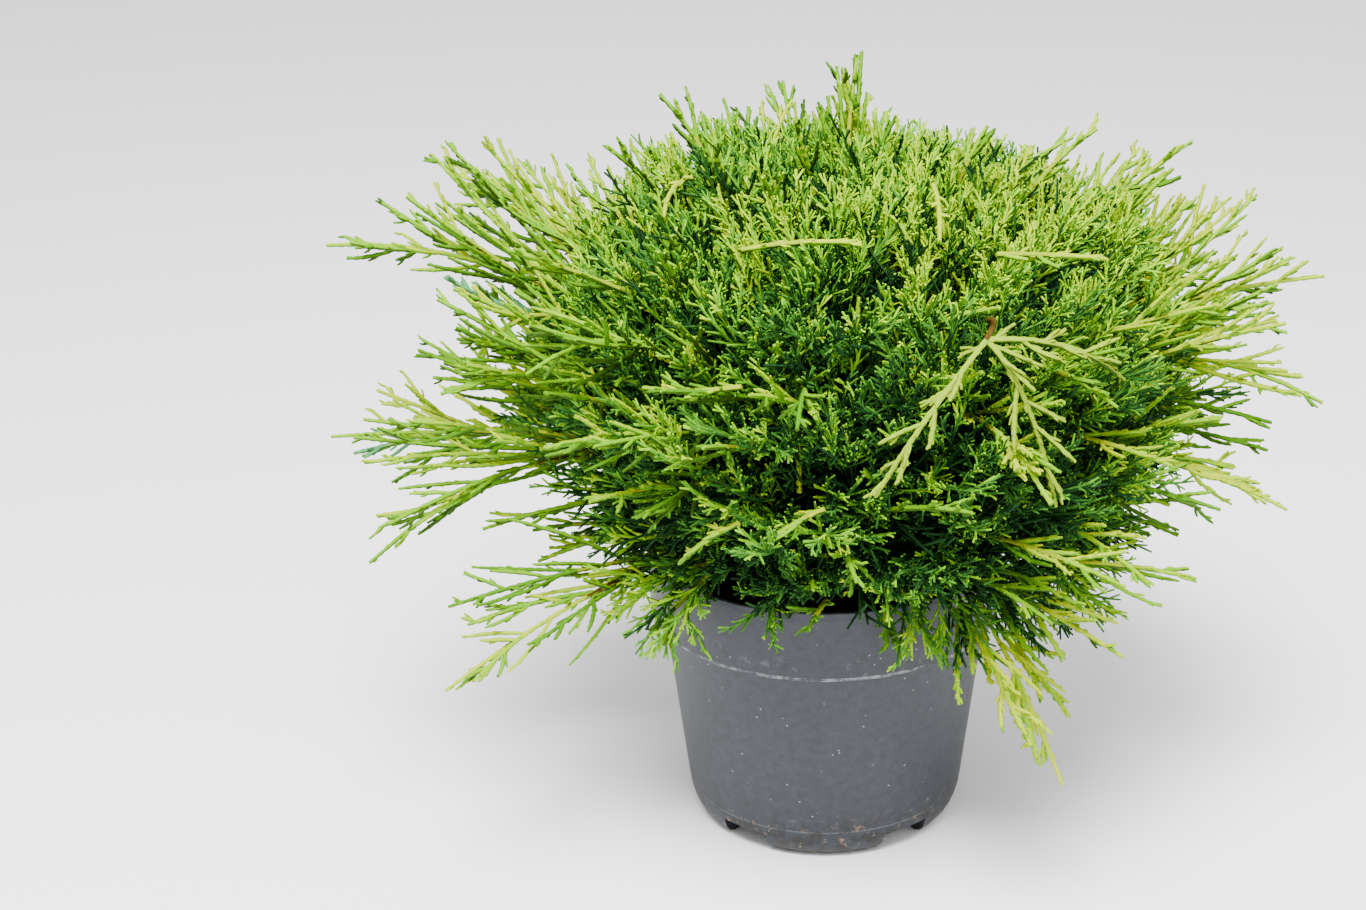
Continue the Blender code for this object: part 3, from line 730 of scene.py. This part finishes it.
def grow_inner(foliage, rng):
    """Older shaded shoots that fill the dense body under its surface."""
    grown = 0
    while grown < INNER_SHOOTS:
        root = Vector((
            rng.uniform(-CROWN_RADIUS, CROWN_RADIUS) + CROWN_OFFSET,
            rng.uniform(-CROWN_RADIUS, CROWN_RADIUS),
            rng.uniform(CROWN_BOTTOM + 0.012, CROWN_TOP),
        ))
        if not 0.22 < crown_depth(root) < 0.74:
            continue
        way = outward_way(root)
        way += Vector((rng.gauss(0, 0.5), rng.gauss(0, 0.5), rng.gauss(0, 0.5)))
        length = INNER_LENGTH * rng.uniform(0.6, 1.2)
        points = bend_line(root, way.normalized(), length, 3, Vector((0, 0, 0.3)))
        tone = 0 if rng.random() < 0.7 else 1
        radii = [SHOOT_RADIUS * 1.3, SHOOT_RADIUS * 1.2, SHOOT_RADIUS * 0.8]
        grown += 1
        low = points[-1].y < 0.0 and points[-1].z < POT_HEIGHT + 0.010
        if low or not foliage.add(foliage.fine[tone], points, radii):
            continue
        for share in (0.45, 0.8):
            foot, along = on_line(points, share)
            roll = rng.uniform(0.0, math.tau)
            twig = turned_off(along, side_of(along), math.radians(40.0), roll)
            ends = [foot, foot + twig * 0.014]
            foliage.add(foliage.fine[tone], ends, [SHOOT_RADIUS, SHOOT_RADIUS * 0.8])


def limb_forks(mass):
    """Centre lines of the long axes that fork off a limb to alternate sides."""
    rng = random.Random(mass["seed"])
    arc = mass["arc"]
    lines = []
    hand = rng.choice((0.0, math.pi))
    for index in range(mass["forks"]):
        share = FORK_START + (FORK_END - FORK_START) * index / (mass["forks"] - 1)
        foot = arc(share)
        along = (arc(share + 0.02) - arc(share - 0.02)).normalized()
        rest = (arc(1.0) - foot).length
        roll = hand + rng.gauss(0.0, 0.6)
        way = turned_off(along, side_of(along), math.radians(rng.gauss(FORK_SPREAD, 4.0)), roll)
        length = rest * FORK_LENGTH * rng.uniform(0.75, 1.0)
        curl = along * FORK_SWING + Vector((0.0, 0.0, -mass["droop"]))
        lines.append(bend_line(foot, way, length, FORK_POINTS, curl))
        hand += math.pi
    return lines


def grow_feather(foliage, rng, axis, tone, start, whip=WHIP_LENGTH, bare=0.07):
    """Long spray: a straw-coloured axis with whips that point forward to its tip."""
    count = len(axis)
    radii = [foliage.girth * (1.12 - 0.20 * step / (count - 1)) for step in range(count)]
    radii[-1] = foliage.girth * 0.72
    if not foliage.fits(axis):
        return
    woody = min(count - 3, int((start + (1.0 - start) * STRAW_SHARE) * (count - 1)))
    if rng.random() > STRAW_SPRAYS or tone == PALE:
        woody = 0
    if woody > 0:
        foliage.add(foliage.long[STRAW], axis[:woody + 1], radii[:woody + 1])
    foliage.add(foliage.long[tone], axis[max(0, woody):], radii[max(0, woody):])
    length = sum((b - a).length for a, b in zip(axis, axis[1:]))
    share = start
    hand = rng.choice((0.0, math.pi))
    while share < 1.0 - bare:
        foot, along = on_line(axis, share)
        rest = length * (1.0 - share)
        size = min(whip, rest * 0.72 + 0.004) * rng.choice((0.45, 0.7, 0.85, 1.0))
        roll = hand + rng.gauss(0.0, 0.7)
        way = turned_off(along, side_of(along), math.radians(rng.gauss(WHIP_SPREAD, 6.0)), roll)
        grow_whip(foliage, rng, foot, way, along, size, painted_light_and_shade(tone, way, along, rng))
        share += rng.uniform(*WHIP_STEPS) / length
        hand += math.pi
    grow_nubs(foliage, rng, axis, start + 0.15, tone, bare - 0.02)


def grow_nubs(foliage, rng, line, start, tone, bare=0.05):
    """Short new twigs along a shoot, shorter to its tip and closer on a stout spray."""
    crowding = 0.5 if foliage.girth > LONG_SHOOT_RADIUS else 1.0
    length = sum((b - a).length for a, b in zip(line, line[1:]))
    share = start
    hand = rng.choice((0.0, math.pi))
    while share < 1.0 - bare:
        foot, along = on_line(line, share)
        roll = hand + rng.gauss(0.0, 0.9)
        twig = turned_off(along, side_of(along), math.radians(rng.gauss(29.0, 5.0)), roll)
        size = (0.0056 - 0.0030 * share) * rng.uniform(0.55, 1.3)
        ends = [foot, foot + twig * size * 0.5, foot + (twig + along * 0.3).normalized() * size]
        radii = [foliage.girth * value for value in (0.66, 0.72, 0.50)]
        foliage.add(foliage.fine[painted_light_and_shade(tone, twig, along, rng)], ends, radii)
        share += rng.uniform(0.0032, 0.0066) * crowding / length
        hand += math.pi


def grow_whip(foliage, rng, foot, way, along, size, tone):
    """Side shoot that swings round to run along its parent and turns up at its tip."""
    curl = along * 0.55 + Vector((0.0, 0.0, rng.uniform(-0.10, 0.45)))
    points = bend_line(foot, way, size, 6, curl)
    radii = [foliage.girth * value for value in (0.70, 0.82, 0.88, 0.88, 0.80, 0.50)]
    if foliage.add(foliage.long[tone], points, radii):
        grow_nubs(foliage, rng, points, 0.22, tone)


def arc_through(foot, middle, tip, count):
    """Points of a curve from foot to tip that passes the middle half way."""
    bend = 2.0 * middle - 0.5 * (foot + tip)
    shares = [step / (count - 1) for step in range(count)]
    return [foot * (1 - s) ** 2 + bend * 2 * s * (1 - s) + tip * s * s for s in shares]


def grow_fronds(foliage, rng):
    """Pale and yellow fronds over the body, and short sprays that hang over the rim."""
    for tone, whip, *marks in FRONDS:
        foliage.girth = LONG_SHOOT_RADIUS * (STOUT if tone == PALE else 1.0)
        axis = arc_through(*[polar(*mark) for mark in marks], 9)
        grow_feather(foliage, rng, axis, tone, 0.04, whip)
    for tone, whip, *marks in UPRIGHT:
        axis = arc_through(*[polar(*mark) for mark in marks], 9)
        grow_feather(foliage, rng, axis, tone, 0.40, whip, bare=0.03)
    stem = arc_through(*[polar(*mark) for mark in BROWN_STEM], 9)
    foliage.stems.append((stem, [0.0012] * len(stem)))
    for bearing, reach, height, turns in HANGING:
        for turn in turns:
            short = abs(turn) * 0.0009
            tip = polar(bearing + turn, reach - 0.5 * short, height + short)
            over = polar(bearing + turn, reach - 0.004, POT_HEIGHT + 0.008)
            foot = polar(bearing, reach - 0.036, POT_HEIGHT + 0.006)
            tone = 3 if turn else 2
            dress_spray(foliage, rng, arc_through(foot, over, tip, 5), tone)


def grow_limbs(foliage, masses):
    for number, mass in enumerate(masses):
        rng = random.Random(SEED + 100 + number)
        foliage.girth = LONG_SHOOT_RADIUS * (STOUT if mass["name"] in GOLDEN else 1.0)
        main = [mass["arc"](0.34 + 0.66 * step / 12) for step in range(13)]
        stem = main[:8]
        foliage.stems.append((stem, [0.0013 - 0.00005 * step for step in range(8)]))
        axes = [main] + limb_forks(mass)
        lowest = min(axes, key=lambda line: line[-1].z)
        for axis in axes:
            inside = [share / 20.0 for share in range(20)
                      if crown_depth(on_line(axis, share / 20.0)[0]) < 0.80]
            start = max(0.12, inside[-1] if inside else 0.0)
            glaucous = axis is lowest and mass["name"] in GLAUCOUS
            tone = BLUE_GREEN if glaucous else BODY_TONES + limb_tone(mass, axis[-1], rng)
            grow_feather(foliage, rng, axis, tone, start, bare=0.035)


def limb_tone(mass, tip, rng):
    """How light a long spray is, from 0 to 4: gold to the right, greener before the body."""
    if mass["name"] in GOLDEN:
        return 4 if rng.random() < 0.6 else 3
    if mass["front"] and abs(tip.x) < 0.12:
        return max(0, min(3, round(0.4 + 9.0 * (tip.z - 0.05) + rng.gauss(0.0, 0.6))))
    out = math.hypot(tip.x, tip.y)
    gold = 2.6 + 6.0 * max(0.0, out - 0.10) + 2.5 * tip.x + rng.gauss(0.0, 0.7)
    return max(1, min(4, round(gold)))


GLAUCOUS = ("upper_left", "middle_left")
GOLDEN = ("lower_front_long", "middle_front_right")

# Fronds over the dense body: tone, longest side shoot, then bearing,
# reach and height of foot, middle and tip
FRONDS = (
    (PALE, 0.026, (27, 0.131, 0.260), (32, 0.141, 0.236), (38, 0.143, 0.191)),
    (PALE, 0.018, (27, 0.131, 0.260), (15, 0.139, 0.234), (8, 0.136, 0.205)),
    (PALE, 0.024, (27, 0.131, 0.260), (40, 0.141, 0.254), (51, 0.147, 0.235)),
    (GOLD, 0.010, (-20, 0.092, 0.285), (-6, 0.087, 0.288), (9, 0.088, 0.288)),
    (GOLD, 0.005, (-66, 0.058, 0.295), (-61, 0.069, 0.293), (-48, 0.084, 0.289)),
    (GOLD, 0.005, (46, 0.059, 0.297), (34, 0.078, 0.295), (26, 0.098, 0.289)),
    (YELLOW, 0.012, (-14, 0.127, 0.244), (-23, 0.127, 0.240), (-33, 0.126, 0.237)),
    (YELLOW, 0.014, (0, 0.131, 0.198), (-4, 0.130, 0.193), (-9, 0.128, 0.184)),
    (YELLOW, 0.014, (-15, 0.126, 0.188), (-21, 0.124, 0.179), (-28, 0.121, 0.164)),
    (GOLD, 0.012, (35, 0.112, 0.285), (46, 0.120, 0.282), (56, 0.130, 0.277)),
    (GOLD, 0.008, (-61, 0.120, 0.249), (-69, 0.133, 0.242), (-74, 0.146, 0.225)),
)
# Feathery sprays that stand up out of the crown's top
UPRIGHT = (
    (LIME, 0.030, (-106, 0.036, 0.262), (-107, 0.052, 0.294), (-106, 0.071, 0.318)),
    (YELLOW, 0.022, (84, 0.045, 0.262), (88, 0.056, 0.290), (90, 0.066, 0.310)),
    (YELLOW, 0.016, (122, 0.009, 0.272), (142, 0.016, 0.305), (147, 0.024, 0.333)),
    (YELLOW, 0.028, (90, 0.070, 0.262), (93, 0.092, 0.290), (95, 0.112, 0.306)),
    (LIME, 0.028, (-101, 0.051, 0.252), (-98, 0.071, 0.280), (-96, 0.091, 0.299)),
    (YELLOW, 0.028, (108, 0.063, 0.262), (107, 0.086, 0.284), (106, 0.108, 0.297)),
)
BROWN_STEM = ((31, 0.119, 0.2625), (29.5, 0.127, 0.2645), (27, 0.131, 0.260))
# Sprays that hang over the rim: bearing, reach and height of the tip, and how they turn
HANGING = (
    (-41, 0.098, 0.116, (-7, 0, 6)),
    (-15, 0.086, 0.130, (0,)),
    (26.5, 0.094, 0.117, (-4, 4)),
)


def shoot_skin_tree(scaled):
    """Node tree that gives centre lines a round skin, with raised leaf scales if scaled, and painted
    shade: faces that turn downward take a second, darker material.
    """
    tree = bpy.data.node_groups.new("scale leaf skin" if scaled else "shoot skin", "GeometryNodeTree")
    sockets = [("Lines", "Geometry"), ("Sides", "Int"), ("Finish", "Material"),
               ("Painted Shade", "Material")]
    if scaled:
        sockets += [("Leaf Length", "Float"), ("Leaf Relief", "Float")]
    inputs = {}
    for label, kind in sockets:
        socket = tree.interface.new_socket(label, in_out="INPUT", socket_type="NodeSocket" + kind)
        inputs[label] = socket.identifier
    tree.interface.new_socket("Skin", in_out="OUTPUT", socket_type="NodeSocketGeometry")
    entry = add_node(tree, "NodeGroupInput").outputs
    curves = add_node(tree, "GeometryNodeMeshToCurve", links={"Mesh": entry["Lines"]}).outputs["Curve"]
    ring = add_node(tree, "GeometryNodeCurvePrimitiveCircle", values={"Radius": 1.0},
                    links={"Resolution": entry["Sides"]})
    thickness = add_node(tree, "GeometryNodeInputNamedAttribute",
                         settings={"data_type": "FLOAT"}, values={"Name": "thickness"})
    scale = thickness.outputs["Attribute"]
    if scaled:
        curves = add_node(tree, "GeometryNodeResampleCurve", settings={"mode": "LENGTH"},
                          links={"Curve": curves, "Length": entry["Leaf Length"]}).outputs["Curve"]
        index = add_node(tree, "GeometryNodeInputIndex").outputs["Index"]
        other = add_node(tree, "ShaderNodeMath", settings={"operation": "MODULO"},
                         links={0: index}, values={1: 2.0}).outputs["Value"]
        swell = add_node(tree, "ShaderNodeMath", settings={"operation": "MULTIPLY_ADD"},
                         links={0: other, 1: entry["Leaf Relief"]}, values={2: 1.0}).outputs["Value"]
        scale = add_node(tree, "ShaderNodeMath", settings={"operation": "MULTIPLY"},
                         links={0: scale, 1: swell}).outputs["Value"]
    skin = add_node(tree, "GeometryNodeCurveToMesh", values={"Fill Caps": True},
                    links={"Curve": curves, "Profile Curve": ring.outputs["Curve"], "Scale": scale})
    real = add_node(tree, "GeometryNodeRealizeInstances", links={"Geometry": skin.outputs["Mesh"]})
    painted = add_node(tree, "GeometryNodeSetMaterial",
                       links={"Geometry": real.outputs["Geometry"], "Material": entry["Finish"]})
    # Painted shade: faces that turn downward take the second, darker material
    facing = add_node(tree, "GeometryNodeInputNormal").outputs["Normal"]
    rise = add_node(tree, "ShaderNodeSeparateXYZ", links={"Vector": facing}).outputs["Z"]
    below = add_node(tree, "ShaderNodeMath", settings={"operation": "LESS_THAN"},
                     links={0: rise}, values={1: PAINTED_SHADE_SLOPE}).outputs["Value"]
    shaded = add_node(tree, "GeometryNodeSetMaterial",
                      links={"Geometry": painted.outputs["Geometry"], "Selection": below,
                             "Material": entry["Painted Shade"]})
    leave = add_node(tree, "NodeGroupOutput")
    tree.links.new(shaded.outputs["Geometry"], leave.inputs["Skin"])
    return tree, inputs


def skinned(name, lines, skin, values):
    """One closed mesh piece with a skin on each centre line."""
    points, edges, radii = [], [], []
    for line, thickness in lines:
        first = len(points)
        points.extend(line)
        radii.extend(thickness)
        edges.extend((first + i, first + i + 1) for i in range(len(line) - 1))
    mesh = bpy.data.meshes.new(name)
    mesh.from_pydata(points, edges, [])
    mesh.attributes.new("thickness", "FLOAT", "POINT").data.foreach_set("value", radii)
    guide = bpy.data.objects.new(name, mesh)
    bpy.context.scene.collection.objects.link(guide)
    tree, inputs = skin
    grow = guide.modifiers.new("skin", "NODES")
    grow.node_group = tree
    for label, value in values.items():
        grow[inputs[label]] = value
    bpy.context.view_layer.update()
    depsgraph = bpy.context.evaluated_depsgraph_get()
    skin_mesh = bpy.data.meshes.new_from_object(guide.evaluated_get(depsgraph))
    bpy.data.objects.remove(guide)
    skin_mesh.name = name
    skin_mesh.shade_smooth()
    piece = bpy.data.objects.new(name, skin_mesh)
    bpy.context.scene.collection.objects.link(piece)
    return piece


def batches(lines, triangles_of):
    """Lines in batches that each stay under the triangle limit of a piece."""
    batch, total = [], 0
    for line in lines:
        batch.append(line)
        total += triangles_of(line)
        if total > PIECE_TRIANGLES:
            yield batch
            batch, total = [], 0
    if batch:
        yield batch


def long_triangles(line):
    points = line[0]
    length = sum((b - a).length for a, b in zip(points, points[1:]))
    return 8 * (length / LEAF_LENGTH + 1.0) + 4


def fine_triangles(line):
    return 6 * (len(line[0]) - 1) + 2


def build_foliage(masses, materials):
    rng = random.Random(SEED)
    foliage = Foliage(*cad_box)
    grow_crown(foliage, rng, clump_tips(rng))
    grow_edges(foliage, rng)
    grow_inner(foliage, rng)
    grow_fronds(foliage, rng)
    grow_limbs(foliage, masses)
    rng = random.Random(SEED + 7)
    grow_crown(foliage, rng, cap_tips(rng))
    fine_skin = shoot_skin_tree(False)
    long_skin = shoot_skin_tree(True)
    pieces = []
    for tone, material in enumerate(materials):
        name = TONES[tone][0].replace(" ", "_")
        # Painted shade on the downward faces: the tone two steps darker, or the olive spray tone for
        # the single ones
        under = materials[lighter(tone, -2) if tone < BLUE_GREEN else BODY_TONES]
        for number, lines in enumerate(batches(foliage.fine[tone], fine_triangles)):
            values = {"Sides": 3, "Finish": material, "Painted Shade": under}
            pieces.append(skinned(f"{name}_shoots_{number + 1}", lines, fine_skin, values))
        for number, lines in enumerate(batches(foliage.long[tone], long_triangles)):
            values = {"Sides": 4, "Finish": material, "Painted Shade": under,
                      "Leaf Length": LEAF_LENGTH, "Leaf Relief": LEAF_RELIEF}
            pieces.append(skinned(f"{name}_sprays_{number + 1}", lines, long_skin, values))
    for piece in pieces:
        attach(piece, "root")
    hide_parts(*["foliage_" + mass["name"] for mass in masses])
    return foliage.stems


def build_wood(masses, stems, bark):
    """Trunk and boughs with finer rings than the frame's, and the limbs' bare stems."""
    lines = []
    bottom = SOIL_TOP + GAP
    heights = [bottom + (TRUNK_TOP - bottom) * step / 20 for step in range(21)]
    lines.append(([trunk_axis(h) for h in heights], [trunk_radius(h) for h in heights]))
    for mass in masses:
        count = 16
        shares = [0.5 * step / count for step in range(count + 1)]
        points = [mass["arc"](share) for share in shares]
        radii = [BOUGH_RADIUS + (BOUGH_TIP_RADIUS - BOUGH_RADIUS) * s / 0.5 for s in shares]
        lines.append((points, radii))
    values = {"Sides": 12, "Finish": bark, "Painted Shade": bark}
    piece = skinned("trunk_and_boughs", lines + stems, shoot_skin_tree(False), values)
    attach(piece, "root")
    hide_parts("trunk", *["bough_" + mass["name"] for mass in masses])


def build_pot():
    """The frame's pot with its faces joined: smooth all round, sharp at its edges."""
    mesh = bpy.data.objects["pot"].data.copy()
    mesh.name = "pot_shell"
    shell = bmesh.new()
    shell.from_mesh(mesh)
    bmesh.ops.remove_doubles(shell, verts=shell.verts, dist=0.00001)
    shell.to_mesh(mesh)
    shell.free()
    if "custom_normal" in mesh.attributes:
        mesh.attributes.remove(mesh.attributes["custom_normal"])
    mesh.shade_smooth()
    mesh.set_sharp_from_angle(angle=math.radians(32.0))
    mesh.materials.clear()
    mesh.materials.append(moulded_polypropylene())
    piece = bpy.data.objects.new("pot_shell", mesh)
    bpy.context.scene.collection.objects.link(piece)
    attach(piece, "root")
    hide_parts("pot")


def dress_soil():
    soil = bpy.data.objects["soil"]
    soil.data.materials.clear()
    soil.data.materials.append(potting_soil())


def build_stage():
    bpy.ops.mesh.primitive_plane_add(size=12.0, location=(0.0, 0.0, -0.0002))
    floor = bpy.context.object
    floor.name = "studio_floor"
    material, _, _ = new_material("white studio paper", "FAFAFA", 0.9, 0.2)
    floor.data.materials.append(material)
    world = bpy.data.worlds.new("studio")
    world.use_nodes = True
    world.node_tree.nodes["Background"].inputs["Color"].default_value = linear("FFFFFF")
    world.node_tree.nodes["Background"].inputs["Strength"].default_value = 1.15
    bpy.context.scene.world = world


def add_light(name, size, power, place, aim):
    lamp = bpy.data.lights.new(name, "AREA")
    lamp.size = size
    lamp.energy = power
    item = bpy.data.objects.new(name, lamp)
    item.location = place
    item.rotation_euler = (Vector(aim) - Vector(place)).to_track_quat("-Z", "Y").to_euler()
    bpy.context.scene.collection.objects.link(item)


def build_camera():
    camera = bpy.data.cameras.new("camera")
    camera.sensor_width = SENSOR
    camera.lens = FOCAL_PIXELS * SENSOR / PHOTO_WIDTH
    camera.shift_x = (PHOTO_WIDTH / 2 - POT_COLUMN) / PHOTO_WIDTH
    item = bpy.data.objects.new("camera", camera)
    item.location = (0.0, -CAMERA_DISTANCE, CAMERA_HEIGHT)
    item.rotation_euler = (math.radians(90.0 - CAMERA_PITCH), 0.0, 0.0)
    bpy.context.scene.collection.objects.link(item)
    bpy.context.scene.camera = item


plans = plan_masses()
leaf_materials = [scale_leaf(name, colour) for name, colour in TONES]
build_pot()
dress_soil()
bare_stems = build_foliage(plans, leaf_materials)
build_wood(plans, bare_stems, juniper_bark())
build_stage()
add_light("soft key", 0.7, 104.0, (-0.10, -0.72, 1.6), (0.0, 0.0, 0.2))
add_light("soft fill", 1.4, 10.0, (1.2, -0.9, 1.0), (0.0, 0.0, 0.2))
build_camera()
